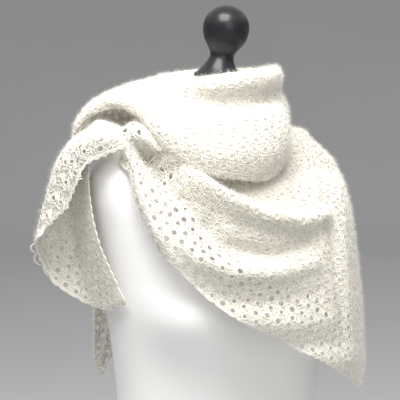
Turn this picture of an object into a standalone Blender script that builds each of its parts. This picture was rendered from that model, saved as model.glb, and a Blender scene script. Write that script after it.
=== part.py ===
# Crochet stole draped round a limbless dress form.
# Metres, Z up. The form faces -Y; the origin is the middle of its flat underside.
# Cloth is lofted from section tables, folded by a table of crests, then given its wall.

import bpy
import bmesh
import numpy as np
from math import radians, sin, cos, tan, pi
from mathutils import Matrix, Vector

# Driving dimensions
WALL = 0.0024            # crochet cloth thickness
CLEAR = 0.0021           # cloth middle surface to the form
NECK_TOP = 0.682         # middle of the neck's slanted top
NECK_TILT = radians(9)   # how far the neck leans
NECK_LEAN = radians(-45) # and towards which side: the form's left front
SEAT_GAP = 0.0003        # between cap and neck
LOOK = radians(30)       # the stole is arranged for a view from this side of the front
SCALLOP = 0.0030         # depth of the loops along the free edges

# Dress form sections
FORM_COLUMNS = ("height", "half_width", "front", "back")
FORM = (
    (0.000, 0.168, 0.105, 0.125),
    (0.060, 0.176, 0.108, 0.130),
    (0.130, 0.168, 0.105, 0.118),
    (0.200, 0.145, 0.096, 0.096),
    (0.240, 0.137, 0.091, 0.088),
    (0.275, 0.138, 0.091, 0.088),
    (0.320, 0.142, 0.094, 0.092),
    (0.360, 0.147, 0.099, 0.098),
    (0.400, 0.152, 0.105, 0.106),
    (0.450, 0.159, 0.104, 0.112),
    (0.500, 0.168, 0.096, 0.111),
    (0.535, 0.175, 0.086, 0.106),
    (0.556, 0.176, 0.077, 0.101),
    (0.572, 0.169, 0.070, 0.095),
    (0.588, 0.150, 0.064, 0.089),
    (0.602, 0.125, 0.059, 0.082),
    (0.616, 0.098, 0.056, 0.074),
    (0.634, 0.074, 0.053, 0.065),
    (0.656, 0.058, 0.050, 0.056),
    (0.682, 0.052, 0.050, 0.052),
)
SQUARENESS = 2.25
BUST = {"angle": radians(40), "spread": radians(23), "height": 0.392, "reach": 0.056, "rise": 0.034}

# Turned cap, radius and height from its flat seat
CAP = (
    (0.0000, 0.0970), (0.0080, 0.0960), (0.0165, 0.0922), (0.0245, 0.0850), (0.0290, 0.0770),
    (0.0303, 0.0675), (0.0293, 0.0590), (0.0260, 0.0500), (0.0200, 0.0420), (0.0158, 0.0355),
    (0.0152, 0.0310), (0.0172, 0.0240), (0.0235, 0.0140), (0.0290, 0.0080), (0.0318, 0.0050),
    (0.0326, 0.0026), (0.0316, 0.0006), (0.0296, 0.0000), (0.0000, 0.0000),
)

# Sections of the hanging cloth, which bridges the chest and the back
DRAPE_COLUMNS = ("height", "half_width", "front", "back")
DRAPE = (
    (0.280, 0.190, 0.172, 0.146),
    (0.340, 0.188, 0.170, 0.146),
    (0.400, 0.186, 0.165, 0.144),
    (0.450, 0.183, 0.156, 0.141),
    (0.510, 0.180, 0.138, 0.134),
    (0.545, 0.178, 0.116, 0.123),
    (0.572, 0.173, 0.083, 0.110),
    (0.592, 0.152, 0.074, 0.098),
    (0.612, 0.114, 0.070, 0.086),
    (0.640, 0.078, 0.060, 0.073),
    (0.690, 0.060, 0.054, 0.060),
)

# Where the stole is gathered at the front of the right shoulder
GATHER = {"angle": radians(-168), "spread": radians(15), "height": 0.610, "reach": 0.022, "radius": 0.154}

# Wrap: angle round the form, height where it leaves the cowl, height of its hem
WRAP_COLUMNS = ("angle", "start", "hem")
WRAP = (
    (-169, 0.628, 0.578), (-165, 0.628, 0.570), (-161, 0.627, 0.562), (-156, 0.625, 0.538), (-149, 0.620, 0.503),
    (-141, 0.614, 0.468), (-133, 0.611, 0.447), (-124, 0.605, 0.423), (-114, 0.602, 0.400), (-105, 0.601, 0.386),
    (-95, 0.602, 0.373), (-88, 0.603, 0.360), (-80, 0.605, 0.348), (-72, 0.608, 0.336), (-64, 0.612, 0.322),
    (-54, 0.618, 0.306), (-46, 0.624, 0.292), (-38, 0.630, 0.303), (-28, 0.636, 0.322), (-14, 0.642, 0.340),
    (0, 0.646, 0.355), (20, 0.646, 0.385), (45, 0.642, 0.418), (70, 0.640, 0.446), (90, 0.638, 0.468),
    (112, 0.632, 0.500), (130, 0.624, 0.530),
)
WRAP_COLS, WRAP_ROWS = 88, 22

# Crests of the wrap's folds on the near or the far side of the arranged view:
# points (across, height), then rise and half breadth
FOLD_COLUMNS = ("side", "points", "rise", "breadth")
FOLDS = (
    ("front", ((-0.104, 0.614), (-0.084, 0.600), (-0.044, 0.562), (-0.004, 0.539), (0.040, 0.524),
         (0.104, 0.520)), 0.014, 0.013),
    ("front", ((-0.114, 0.600), (-0.101, 0.560), (-0.082, 0.526), (-0.058, 0.492),
         (-0.038, 0.466)), 0.010, 0.013),
    ("front", ((-0.060, 0.510), (-0.026, 0.474), (0.034, 0.455), (0.096, 0.447),
         (0.150, 0.450)), 0.011, 0.019),
    ("front", ((0.030, 0.404), (0.080, 0.384), (0.130, 0.376)), 0.006, 0.018),
    ("front", ((0.112, 0.350), (0.140, 0.338), (0.170, 0.334)), 0.004, 0.014),
    ("front", ((0.098, 0.622), (0.122, 0.570), (0.130, 0.510)), 0.007, 0.012),
    ("front", ((0.138, 0.588), (0.152, 0.520), (0.154, 0.430), (0.164, 0.340)), 0.007, 0.011),
    ("back", ((0.110, 0.612), (0.080, 0.560), (0.020, 0.524), (-0.050, 0.520)), 0.012, 0.014),
    ("back", ((0.120, 0.580), (0.100, 0.530), (0.066, 0.486), (0.000, 0.462)), 0.009, 0.015),
    ("back", ((-0.056, 0.590), (-0.070, 0.530), (-0.060, 0.460)), 0.006, 0.014),
    ("back", ((0.020, 0.600), (-0.030, 0.574), (-0.090, 0.570)), 0.007, 0.012),
    ("back", ((-0.010, 0.440), (-0.060, 0.415), (-0.120, 0.400)), 0.006, 0.016),
)

# Cowl sections: angle, then radius and height of six lines round it, from rim to lower fold
COWL_LINES = ("rim", "shoulder", "pocket", "ridge", "belly", "fold")
COWL = (
    (-180, (0.072, 0.672), (0.106, 0.677), (0.132, 0.667), (0.150, 0.661), (0.157, 0.655), (0.151, 0.647)),
    (-168, (0.074, 0.677), (0.100, 0.676), (0.118, 0.664), (0.130, 0.657), (0.138, 0.647), (0.136, 0.637)),
    (-160, (0.076, 0.679), (0.098, 0.676), (0.112, 0.661), (0.126, 0.653), (0.1384, 0.640), (0.1396, 0.626)),
    (-150, (0.078, 0.681), (0.096, 0.675), (0.106, 0.658), (0.122, 0.647), (0.143, 0.624), (0.142, 0.602)),
    (-124, (0.080, 0.686), (0.094, 0.673), (0.095, 0.649), (0.111, 0.634), (0.137, 0.598), (0.135, 0.567)),
    (-95, (0.078, 0.692), (0.091, 0.678), (0.090, 0.649), (0.109, 0.630), (0.127, 0.593), (0.120, 0.560)),
    (-68, (0.075, 0.697), (0.087, 0.684), (0.087, 0.655), (0.102, 0.637), (0.111, 0.604), (0.102, 0.573)),
    (-40, (0.073, 0.700), (0.081, 0.690), (0.084, 0.667), (0.089, 0.650), (0.096, 0.634), (0.097, 0.620)),
    (-5, (0.073, 0.700), (0.081, 0.690), (0.085, 0.674), (0.090, 0.668), (0.098, 0.660), (0.101, 0.650)),
    (30, (0.074, 0.700), (0.084, 0.692), (0.090, 0.673), (0.096, 0.662), (0.102, 0.652), (0.102, 0.640)),
    (80, (0.074, 0.698), (0.086, 0.690), (0.095, 0.668), (0.104, 0.652), (0.112, 0.636), (0.111, 0.620)),
    (120, (0.072, 0.690), (0.092, 0.687), (0.112, 0.667), (0.124, 0.652), (0.134, 0.633), (0.133, 0.616)),
    (150, (0.070, 0.680), (0.098, 0.680), (0.130, 0.666), (0.152, 0.650), (0.166, 0.627), (0.168, 0.604)),
    (167, (0.070, 0.674), (0.105, 0.678), (0.140, 0.667), (0.166, 0.653), (0.184, 0.634), (0.190, 0.612)),
    (174, (0.071, 0.673), (0.106, 0.677), (0.138, 0.668), (0.160, 0.658), (0.174, 0.648), (0.178, 0.638)),
)
COWL_COLS, COWL_ROWS = 72, 12

# Near end, a half sleeve off the shoulder. Each rib runs from the gathers to the hem:
# (across, depth, height) as seen in the arranged view
NEAR_END = (
    ((-0.1117, -0.121, 0.602), (-0.144, -0.128, 0.589), (-0.161, -0.125, 0.579), (-0.170, -0.122, 0.562),
     (-0.185, -0.112, 0.529), (-0.199, -0.105, 0.515), (-0.222, -0.092, 0.488)),
    ((-0.1127, -0.117, 0.609), (-0.140, -0.128, 0.613), (-0.154, -0.126, 0.608), (-0.172, -0.118, 0.593),
     (-0.187, -0.110, 0.559), (-0.203, -0.100, 0.525), (-0.225, -0.085, 0.484)),
    ((-0.1147, -0.108, 0.616), (-0.138, -0.108, 0.622), (-0.156, -0.104, 0.620), (-0.176, -0.098, 0.610),
     (-0.199, -0.090, 0.580), (-0.214, -0.082, 0.533), (-0.227, -0.074, 0.483), (-0.223, -0.066, 0.460)),
    ((-0.1167, -0.100, 0.620), (-0.141, -0.097, 0.628), (-0.156, -0.086, 0.624), (-0.181, -0.073, 0.594),
     (-0.193, -0.062, 0.544), (-0.201, -0.058, 0.494), (-0.212, -0.056, 0.453), (-0.204, -0.058, 0.427)),
    ((-0.1187, -0.091, 0.622), (-0.144, -0.085, 0.630), (-0.159, -0.071, 0.622), (-0.177, -0.060, 0.582),
     (-0.184, -0.053, 0.522), (-0.180, -0.050, 0.472), (-0.178, -0.050, 0.433), (-0.170, -0.056, 0.406)),
    ((-0.1207, -0.082, 0.622), (-0.146, -0.073, 0.626), (-0.160, -0.061, 0.610), (-0.170, -0.064, 0.568),
     (-0.172, -0.068, 0.513), (-0.168, -0.067, 0.469), (-0.158, -0.070, 0.430), (-0.138, -0.086, 0.400)),
    ((-0.1227, -0.074, 0.619), (-0.148, -0.066, 0.615), (-0.158, -0.068, 0.594), (-0.160, -0.094, 0.562),
     (-0.155, -0.102, 0.516), (-0.146, -0.105, 0.480), (-0.132, -0.108, 0.447), (-0.114, -0.118, 0.413)),
)
NEAR_COLS, NEAR_ROWS = 24, 17

# Far end over the back of the wrap: height, the angles of its two edges, distance off the wrap
FAR_COLUMNS = ("height", "from_angle", "to_angle", "clear_of_wrap")
FAR_END = (
    (0.612, 108, 126, 0.0034), (0.580, 106, 129, 0.0090), (0.520, 105, 131, 0.0100), (0.450, 106, 132, 0.0110),
    (0.390, 108, 131, 0.0115), (0.350, 112, 130, 0.0120), (0.322, 117, 130, 0.0120), (0.298, 122, 129, 0.0120),
    (0.284, 125, 127, 0.0120),
)
FAR_COLS, FAR_ROWS = 8, 14

MATERIALS = {
    "form_white": ((0.86, 0.85, 0.83), 0.62, 0.0),
    "cap_black": ((0.012, 0.012, 0.013), 0.16, 0.0),
    "cowl_cream": ((0.90, 0.88, 0.80), 0.92, 0.0),
    "wrap_cream": ((0.90, 0.87, 0.79), 0.92, 0.0),
    "near_end_cream": ((0.90, 0.88, 0.81), 0.92, 0.0),
    "far_end_cream": ((0.88, 0.85, 0.77), 0.92, 0.0),
}


def clear_scene():
    for item in list(bpy.data.objects):
        bpy.data.objects.remove(item, do_unlink=True)


def curve(xs, ys, x):
    """Smooth curve through a table that never overshoots it."""
    xs, ys = np.asarray(xs, float), np.asarray(ys, float)
    step = np.diff(xs)
    slope = np.diff(ys) / step
    lean = np.zeros_like(ys)
    lean[0], lean[-1] = slope[0], slope[-1]
    for i in range(1, len(xs) - 1):
        if slope[i - 1] * slope[i] > 0:
            w1, w2 = 2 * step[i] + step[i - 1], step[i] + 2 * step[i - 1]
            lean[i] = (w1 + w2) / (w1 / slope[i - 1] + w2 / slope[i])
    x = np.clip(np.asarray(x, float), xs[0], xs[-1])
    k = np.clip(np.searchsorted(xs, x) - 1, 0, len(step) - 1)
    t = (x - xs[k]) / step[k]
    a = ys[k] * (1 + 2 * t) * (1 - t) ** 2 + lean[k] * step[k] * t * (1 - t) ** 2
    return a + ys[k + 1] * t * t * (3 - 2 * t) + lean[k + 1] * step[k] * t * t * (t - 1)


def column(table, i):
    return [row[i] for row in table]


def oval(table, angle, height):
    """Radius of a squared oval whose front and back depths differ."""
    wide = curve(column(table, 0), column(table, 1), height)
    deep = curve(column(table, 0), column(table, 2 if sin(angle) < 0 else 3), height)
    n = SQUARENESS
    return ((abs(cos(angle)) / wide) ** n + (abs(sin(angle)) / deep) ** n) ** (-1 / n)


def form_radius(angle, height):
    radius = oval(FORM, angle, height)
    for side in (-1, 1):
        turn = (angle + pi / 2 - side * BUST["angle"] + pi) % (2 * pi) - pi
        lift = ((height - BUST["height"]) / BUST["reach"]) ** 2 + (turn / BUST["spread"]) ** 2
        radius = radius + BUST["rise"] * np.exp(-lift)
    return radius


def slant_neck(x, y, z):
    """Slant the neck's top without moving the shoulders."""
    share = min(max((z - 0.634) / (NECK_TOP - 0.634), 0), 1)
    toward = x * cos(NECK_LEAN) + y * sin(NECK_LEAN)
    return (x, y, z - toward * tan(NECK_TILT) * share)


def from_view(across, depth, height):
    return Vector((across * cos(LOOK) + depth * sin(LOOK), -across * sin(LOOK) + depth * cos(LOOK), height))


def to_view(point):
    return (point.x * cos(LOOK) - point.y * sin(LOOK), point.x * sin(LOOK) + point.y * cos(LOOK))


def resample(points, count):
    """Points at even steps along a broken line."""
    pts = np.array([tuple(p) for p in points])
    run = np.concatenate(([0], np.cumsum(np.linalg.norm(np.diff(pts, axis=0), axis=1))))
    at = np.linspace(0, run[-1], count)
    return [Vector((np.interp(at, run, pts[:, k])[i] for k in range(3))) for i in range(count)]


def spline(points, count):
    """Rounded line through the points, sampled at even steps."""
    pts = [Vector(p) for p in points]
    ends = [2 * pts[0] - pts[1]] + pts + [2 * pts[-1] - pts[-2]]
    line = []
    for i in range(1, len(ends) - 2):
        a, b, c, d = ends[i - 1:i + 3]
        for k in range(8):
            t = k / 8
            line.append(0.5 * (2 * b + (c - a) * t + (2 * a - 5 * b + 4 * c - d) * t * t + (3 * b - a - 3 * c + d) * t ** 3))
    line.append(pts[-1])
    return resample(line, count)


def drape_radius(angle, heights):
    """Cloth hangs from the widest place above it, and stands off where it is gathered."""
    body = form_radius(angle, heights) + CLEAR
    free = oval(DRAPE, angle, heights)
    turn = (angle - GATHER["angle"] + pi) % (2 * pi) - pi
    bunch = np.exp(-(turn / GATHER["spread"]) ** 2 - ((heights - GATHER["height"]) / GATHER["reach"]) ** 2)
    stand = 0.10 + (GATHER["radius"] - 0.10) * bunch
    return np.maximum.accumulate(np.maximum(np.maximum(body, free), np.where(bunch > 0.02, stand, 0)))


def fold_rise(point):
    """Rise of the folds at a point of the wrap."""
    across, depth = to_view(point)
    side = "front" if depth < 0 else "back"
    edge = min(abs(depth) / 0.030, 1)
    total = 0
    for where, crest, rise, breadth in FOLDS:
        if where == side:
            total += rise * edge * crest_share(across, point.z, crest, breadth)
    return total


def crest_share(across, height, crest, breadth):
    best = 0
    count = len(crest) - 1
    for i in range(count):
        (x0, z0), (x1, z1) = crest[i], crest[i + 1]
        length = (x1 - x0) ** 2 + (z1 - z0) ** 2
        t = min(max(((across - x0) * (x1 - x0) + (height - z0) * (z1 - z0)) / length, 0), 1)
        off = ((across - x0 - t * (x1 - x0)) ** 2 + (height - z0 - t * (z1 - z0)) ** 2) ** 0.5
        along = (i + t) / count
        fade = 0.35 + 0.65 * sin(pi * min(max(0.16 + 0.80 * along, 0), 1))
        best = max(best, fade * np.exp(-(off / breadth) ** 2))
    return best


def wrap_grid():
    """Meridians from under the cowl down to the hem, front round to back."""
    angles = column(WRAP, 0)
    reach = np.interp(angles, angles, [0.16 + 0.04 * abs(cos(radians(a))) for a in angles])
    run = np.concatenate(([0], np.cumsum(np.diff(np.radians(angles)) * reach[1:])))
    grid = []
    for i in range(WRAP_COLS + 1):
        degrees = float(np.interp(run[-1] * i / WRAP_COLS, run, angles))
        angle = radians(degrees)
        top = float(curve(angles, column(WRAP, 1), degrees))
        hem = float(curve(angles, column(WRAP, 2), degrees))
        heights = np.linspace(top, hem, 120)
        radius = drape_radius(angle, heights)
        line = [Vector((r * cos(angle), r * sin(angle), z)) for r, z in zip(radius, heights)]
        grid.append(resample(line, WRAP_ROWS + 1))
    return scallop(lift_folds([list(row) for row in zip(*grid)]))


def scallop(grid):
    """Let the free edge swing in and out along the cloth."""
    for i in range(len(grid[-1])):
        step = (grid[-1][i] - grid[-2][i]).normalized()
        grid[-1][i] = grid[-1][i] + step * SCALLOP * (1 if i % 2 else -1)
    return grid


def lift_folds(grid):
    rows, cols = len(grid), len(grid[0])
    lifted = [list(row) for row in grid]
    for j in range(rows):
        for i in range(cols):
            along = grid[j][min(i + 1, cols - 1)] - grid[j][max(i - 1, 0)]
            down = grid[min(j + 1, rows - 1)][i] - grid[max(j - 1, 0)][i]
            out = down.cross(along).normalized()
            calm = min((grid[-1][i] - grid[0][i]).length / 0.110, 1) ** 1.5
            lifted[j][i] = grid[j][i] + out * fold_rise(grid[j][i]) * calm
    return lifted


def cowl_grid():
    """Closed ring: down inside the rim, over it, down the face and back under the lower fold."""
    rows = sorted(COWL)
    angles = column(rows, 0)
    wide = [a - 360 for a in angles] + angles + [a + 360 for a in angles]
    grid = []
    for i in range(COWL_COLS):
        degrees = -180 + 360 * i / COWL_COLS
        angle = radians(degrees)
        lines = []
        for k in range(1, len(COWL_LINES) + 1):
            radius = curve(wide, [r[k][0] for r in rows] * 3, degrees)
            height = curve(wide, [r[k][1] for r in rows] * 3, degrees)
            lines.append((float(radius), float(height)))
        (rr, rz), (fr, fz) = lines[0], lines[-1]
        profile = [(rr - 0.005, rz - 0.016)] + lines + [(fr - 0.004, fz - 0.0005)]
        grid.append(spline([(r * cos(angle), r * sin(angle), z) for r, z in profile], COWL_ROWS + 1))
    return [list(row) for row in zip(*grid)]


def near_end_grid():
    """Half sleeve lofted across its ribs."""
    ribs = [spline([from_view(*p) for p in rib], NEAR_ROWS + 1) for rib in NEAR_END]
    grid = [spline([rib[j] for rib in ribs], NEAR_COLS + 1) for j in range(NEAR_ROWS + 1)]
    return scallop(grid)


def far_end_grid():
    """A pointed tail lying over the back of the wrap."""
    levels = FAR_END[::-1]
    grid = []
    for j in range(FAR_ROWS + 1):
        z = FAR_END[0][0] + (FAR_END[-1][0] - FAR_END[0][0]) * j / FAR_ROWS
        start, end, off = [float(curve(column(levels, 0), column(levels, k), z)) for k in (1, 2, 3)]
        row = []
        for i in range(FAR_COLS + 1):
            share = i / FAR_COLS
            angle = radians(start + (end - start) * share)
            heights = np.linspace(0.640, z, 40)
            wave = 0.005 * (1 - cos(4 * pi * share)) * min((end - start) / 20, 1)
            radius = float(drape_radius(angle, heights)[-1]) + off + wave
            row.append(Vector((radius * cos(angle), radius * sin(angle), z)))
        grid.append(row)
    return grid


def make_material(name):
    colour, rough, metal = MATERIALS[name]
    material = bpy.data.materials.new(name)
    material.use_nodes = True
    shader = material.node_tree.nodes["Principled BSDF"]
    shader.inputs["Base Color"].default_value = (*colour, 1)
    shader.inputs["Roughness"].default_value = rough
    shader.inputs["Metallic"].default_value = metal
    material.diffuse_color = (*colour, 1)
    return material


def make_object(name, verts, faces, material, home):
    mesh = bpy.data.meshes.new(name)
    mesh.from_pydata([tuple(v) for v in verts], [], faces)
    mesh.update()
    mesh.materials.append(make_material(material))
    made = bpy.data.objects.new(name, mesh)
    home.objects.link(made)
    return made


def grid_faces(rows, cols, ring):
    faces = []
    for j in range(rows - 1):
        for i in range(cols if ring else cols - 1):
            k = (i + 1) % cols
            faces.append((j * cols + i, (j + 1) * cols + i, (j + 1) * cols + k, j * cols + k))
    return faces


def apply_modifier(made, modifier):
    bpy.context.view_layer.objects.active = made
    bpy.ops.object.modifier_apply(modifier=modifier.name)


def cloth(name, grid, ring, material, home):
    """Loft the sheet and give it its wall."""
    rows, cols = len(grid), len(grid[0])
    made = make_object(name, [p for row in grid for p in row], grid_faces(rows, cols, ring), material, home)
    wall = made.modifiers.new("wall", "SOLIDIFY")
    wall.thickness = WALL
    wall.offset = 0
    wall.use_even_offset = False
    wall.use_rim = True
    apply_modifier(made, wall)
    face_out(made)
    return made


def face_out(made):
    mesh = bmesh.new()
    mesh.from_mesh(made.data)
    bmesh.ops.recalc_face_normals(mesh, faces=mesh.faces)
    mesh.to_mesh(made.data)
    mesh.free()


def build_form(home):
    cols = 48
    heights = [0.0, 0.03, 0.06, 0.09, 0.13, 0.165, 0.20, 0.225, 0.25, 0.275, 0.30, 0.325, 0.35, 0.372, 0.394,
               0.416, 0.44, 0.47, 0.50, 0.535, 0.556, 0.572, 0.588, 0.602, 0.616, 0.634, 0.656, NECK_TOP]
    verts = []
    for z in heights:
        for i in range(cols):
            angle = 2 * pi * i / cols
            r = float(form_radius(angle, z))
            verts.append(slant_neck(r * cos(angle), r * sin(angle), z))
    faces = grid_faces(len(heights), cols, True)
    faces.append(tuple(range(cols)))
    faces.append(tuple(range((len(heights) - 1) * cols, len(heights) * cols)))
    made = make_object("dress_form", verts, faces, "form_white", home)
    face_out(made)
    return made


def build_cap(home):
    verts = [(r, 0, h) for r, h in CAP]
    made = make_object("neck_cap", verts, [], "cap_black", home)
    mesh = bmesh.new()
    mesh.from_mesh(made.data)
    mesh.verts.ensure_lookup_table()
    for a, b in zip(mesh.verts[:-1], mesh.verts[1:]):
        mesh.edges.new((a, b))
    mesh.to_mesh(made.data)
    mesh.free()
    turn = made.modifiers.new("turn", "SCREW")
    turn.axis = "Z"
    turn.steps = turn.render_steps = 30
    turn.use_merge_vertices = True
    turn.merge_threshold = 0.00005
    apply_modifier(made, turn)
    hinge = Vector((-sin(NECK_LEAN), cos(NECK_LEAN), 0))
    tilt = Matrix.Rotation(NECK_TILT, 4, hinge)
    seat = Vector((0, 0, NECK_TOP)) + tilt @ Vector((0, 0, SEAT_GAP))
    made.data.transform(Matrix.Translation(seat) @ tilt)
    face_out(made)
    return made


def main():
    clear_scene()
    home = bpy.data.collections.new("crochet_stole")
    bpy.context.scene.collection.children.link(home)
    build_form(home)
    build_cap(home)
    cloth("stole_cowl", cowl_grid(), True, "cowl_cream", home)
    cloth("stole_wrap", wrap_grid(), False, "wrap_cream", home)
    cloth("stole_near_end", near_end_grid(), False, "near_end_cream", home)
    cloth("stole_far_end", far_end_grid(), False, "far_end_cream", home)


main()
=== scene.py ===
# Fuzzy cream crochet stole wound round a limbless dress form.
# Metres, Z up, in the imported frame; the form faces -Y.
# Each stretch of the stole is a thin cloth with its stitch holes, yarn worked through it, and a mohair halo.

from math import cos, pi, radians, sin, tan

import bpy
import numpy as np
from mathutils import Matrix, Vector, kdtree


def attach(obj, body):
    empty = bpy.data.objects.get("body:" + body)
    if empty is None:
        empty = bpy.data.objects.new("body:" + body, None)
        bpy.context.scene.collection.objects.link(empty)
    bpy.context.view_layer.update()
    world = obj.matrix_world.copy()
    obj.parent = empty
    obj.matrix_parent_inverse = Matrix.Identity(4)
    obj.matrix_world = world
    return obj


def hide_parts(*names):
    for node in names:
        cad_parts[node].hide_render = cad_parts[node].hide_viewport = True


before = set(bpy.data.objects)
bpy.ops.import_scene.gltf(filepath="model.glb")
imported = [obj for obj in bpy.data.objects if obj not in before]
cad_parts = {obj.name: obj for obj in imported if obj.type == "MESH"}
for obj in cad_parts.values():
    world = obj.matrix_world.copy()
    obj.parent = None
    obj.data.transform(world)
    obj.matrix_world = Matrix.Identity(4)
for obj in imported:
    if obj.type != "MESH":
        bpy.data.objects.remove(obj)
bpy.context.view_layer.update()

# View
VIEW_TURN = radians(-30)     # the camera stands at the form's right front
VIEW_RISE = radians(4)
VIEW_AWAY = 1.55
VIEW_FIELD = 0.52            # width that the picture spans at the form's middle
AIM_ACROSS = -0.0234
AIM_HEIGHT = 0.5275

# Dress form
NECK_TOP = 0.682
NECK_FOOT = 0.634
NECK_TILT = radians(9)
NECK_LEAN = radians(-45)
SEAT_GAP = 0.0003
CLEAR = 0.0021               # cloth middle surface to the form
LOOK = radians(30)           # the stole is arranged for a view from this side of the front

# height, half width, front, back
FORM = (
    (0.000, 0.168, 0.105, 0.125), (0.060, 0.176, 0.108, 0.130), (0.130, 0.168, 0.105, 0.118),
    (0.200, 0.145, 0.096, 0.096), (0.240, 0.137, 0.091, 0.088), (0.275, 0.138, 0.091, 0.088),
    (0.320, 0.142, 0.094, 0.092), (0.360, 0.147, 0.099, 0.098), (0.400, 0.152, 0.105, 0.106),
    (0.450, 0.159, 0.104, 0.112), (0.500, 0.168, 0.096, 0.111), (0.535, 0.175, 0.086, 0.106),
    (0.556, 0.176, 0.077, 0.101), (0.572, 0.169, 0.070, 0.095), (0.588, 0.150, 0.064, 0.089),
    (0.602, 0.125, 0.059, 0.082), (0.616, 0.098, 0.056, 0.074), (0.634, 0.074, 0.053, 0.065),
    (0.656, 0.058, 0.050, 0.056), (0.682, 0.052, 0.050, 0.052),
)
SQUARENESS = 2.25
BUST = {"angle": radians(40), "spread": radians(23), "height": 0.392, "reach": 0.056, "rise": 0.034}
FORM_SIDES = 96
FORM_LEVELS = 62

# Turned cap, radius and height from its flat seat
CAP = (
    (0.0296, 0.0000), (0.0316, 0.0006), (0.0326, 0.0026), (0.0318, 0.0050), (0.0290, 0.0080),
    (0.0235, 0.0140), (0.0172, 0.0240), (0.0152, 0.0310), (0.0158, 0.0355), (0.0200, 0.0420),
    (0.0260, 0.0500), (0.0293, 0.0590), (0.0303, 0.0675), (0.0290, 0.0770), (0.0245, 0.0850),
    (0.0165, 0.0922), (0.0080, 0.0960),
)
CAP_TOP = 0.0970
CAP_SIDES = 48

# Hanging cloth, which bridges the chest and the back: height, half width, front, back
DRAPE = (
    (0.280, 0.190, 0.172, 0.146), (0.340, 0.188, 0.170, 0.146), (0.400, 0.186, 0.165, 0.144),
    (0.450, 0.183, 0.156, 0.141), (0.510, 0.180, 0.138, 0.134), (0.545, 0.178, 0.116, 0.123),
    (0.572, 0.173, 0.083, 0.110), (0.592, 0.152, 0.074, 0.098), (0.612, 0.114, 0.070, 0.086),
    (0.640, 0.078, 0.060, 0.073), (0.690, 0.060, 0.054, 0.060),
)
GATHER = {"angle": radians(-168), "spread": radians(15), "height": 0.610, "reach": 0.022, "radius": 0.154}

# Wrap: angle round the form, height where it leaves the cowl, height of its hem
WRAP = (
    (-169, 0.628, 0.578), (-165, 0.628, 0.570), (-161, 0.627, 0.562), (-156, 0.625, 0.538), (-149, 0.620, 0.503),
    (-141, 0.614, 0.468), (-133, 0.611, 0.447), (-124, 0.605, 0.423), (-114, 0.602, 0.400), (-105, 0.601, 0.386),
    (-95, 0.602, 0.373), (-88, 0.603, 0.360), (-80, 0.605, 0.348), (-72, 0.608, 0.336), (-64, 0.612, 0.322),
    (-54, 0.618, 0.306), (-46, 0.624, 0.292), (-38, 0.630, 0.303), (-28, 0.636, 0.322), (-14, 0.642, 0.340),
    (0, 0.646, 0.355), (20, 0.646, 0.385), (45, 0.642, 0.418), (70, 0.640, 0.446), (90, 0.638, 0.468),
    (112, 0.632, 0.500), (130, 0.624, 0.530),
)

# Folds on the near or far side of the arranged view: points (across, height), rise or dip, half breadth
FOLDS = (
    ("front", ((-0.104, 0.616), (-0.084, 0.603), (-0.064, 0.586), (-0.039, 0.559), (-0.011, 0.542),
               (0.017, 0.527), (0.053, 0.513), (0.098, 0.506), (0.128, 0.512)), 0.023, 0.0095),
    ("front", ((-0.108, 0.614), (-0.084, 0.580), (-0.062, 0.552), (-0.039, 0.530), (-0.015, 0.508)), -0.010, 0.009),
    ("front", ((-0.015, 0.508), (0.004, 0.487), (0.041, 0.477), (0.074, 0.472), (0.106, 0.482)), -0.011, 0.012),
    ("front", ((-0.117, 0.614), (-0.102, 0.579), (-0.089, 0.538), (-0.073, 0.502), (-0.052, 0.466)), 0.016, 0.0085),
    ("front", ((-0.060, 0.498), (-0.027, 0.470), (0.013, 0.453), (0.062, 0.450), (0.112, 0.458)), 0.013, 0.012),
    ("front", ((-0.030, 0.440), (0.020, 0.420), (0.072, 0.418), (0.120, 0.424)), -0.004, 0.009),
    ("front", ((0.018, 0.404), (0.070, 0.392), (0.130, 0.388)), 0.006, 0.012),
    ("front", ((0.050, 0.372), (0.096, 0.362), (0.150, 0.360)), -0.003, 0.008),
    ("front", ((0.010, 0.556), (0.050, 0.538), (0.096, 0.534)), -0.004, 0.009),
    ("front", ((0.120, 0.572), (0.138, 0.500), (0.147, 0.430), (0.150, 0.370)), -0.005, 0.006),
    ("front", ((0.112, 0.350), (0.140, 0.338), (0.170, 0.334)), 0.004, 0.014),
    ("front", ((0.098, 0.622), (0.122, 0.570), (0.130, 0.510)), 0.007, 0.012),
    ("front", ((0.138, 0.588), (0.152, 0.520), (0.154, 0.430), (0.164, 0.340)), 0.007, 0.011),
    ("back", ((0.110, 0.612), (0.080, 0.560), (0.020, 0.524), (-0.050, 0.520)), 0.012, 0.014),
    ("back", ((0.120, 0.580), (0.100, 0.530), (0.066, 0.486), (0.000, 0.462)), 0.009, 0.015),
    ("back", ((-0.056, 0.590), (-0.070, 0.530), (-0.060, 0.460)), 0.006, 0.014),
    ("back", ((0.020, 0.600), (-0.030, 0.574), (-0.090, 0.570)), 0.007, 0.012),
    ("back", ((-0.010, 0.440), (-0.060, 0.415), (-0.120, 0.400)), 0.006, 0.016),
)

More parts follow.
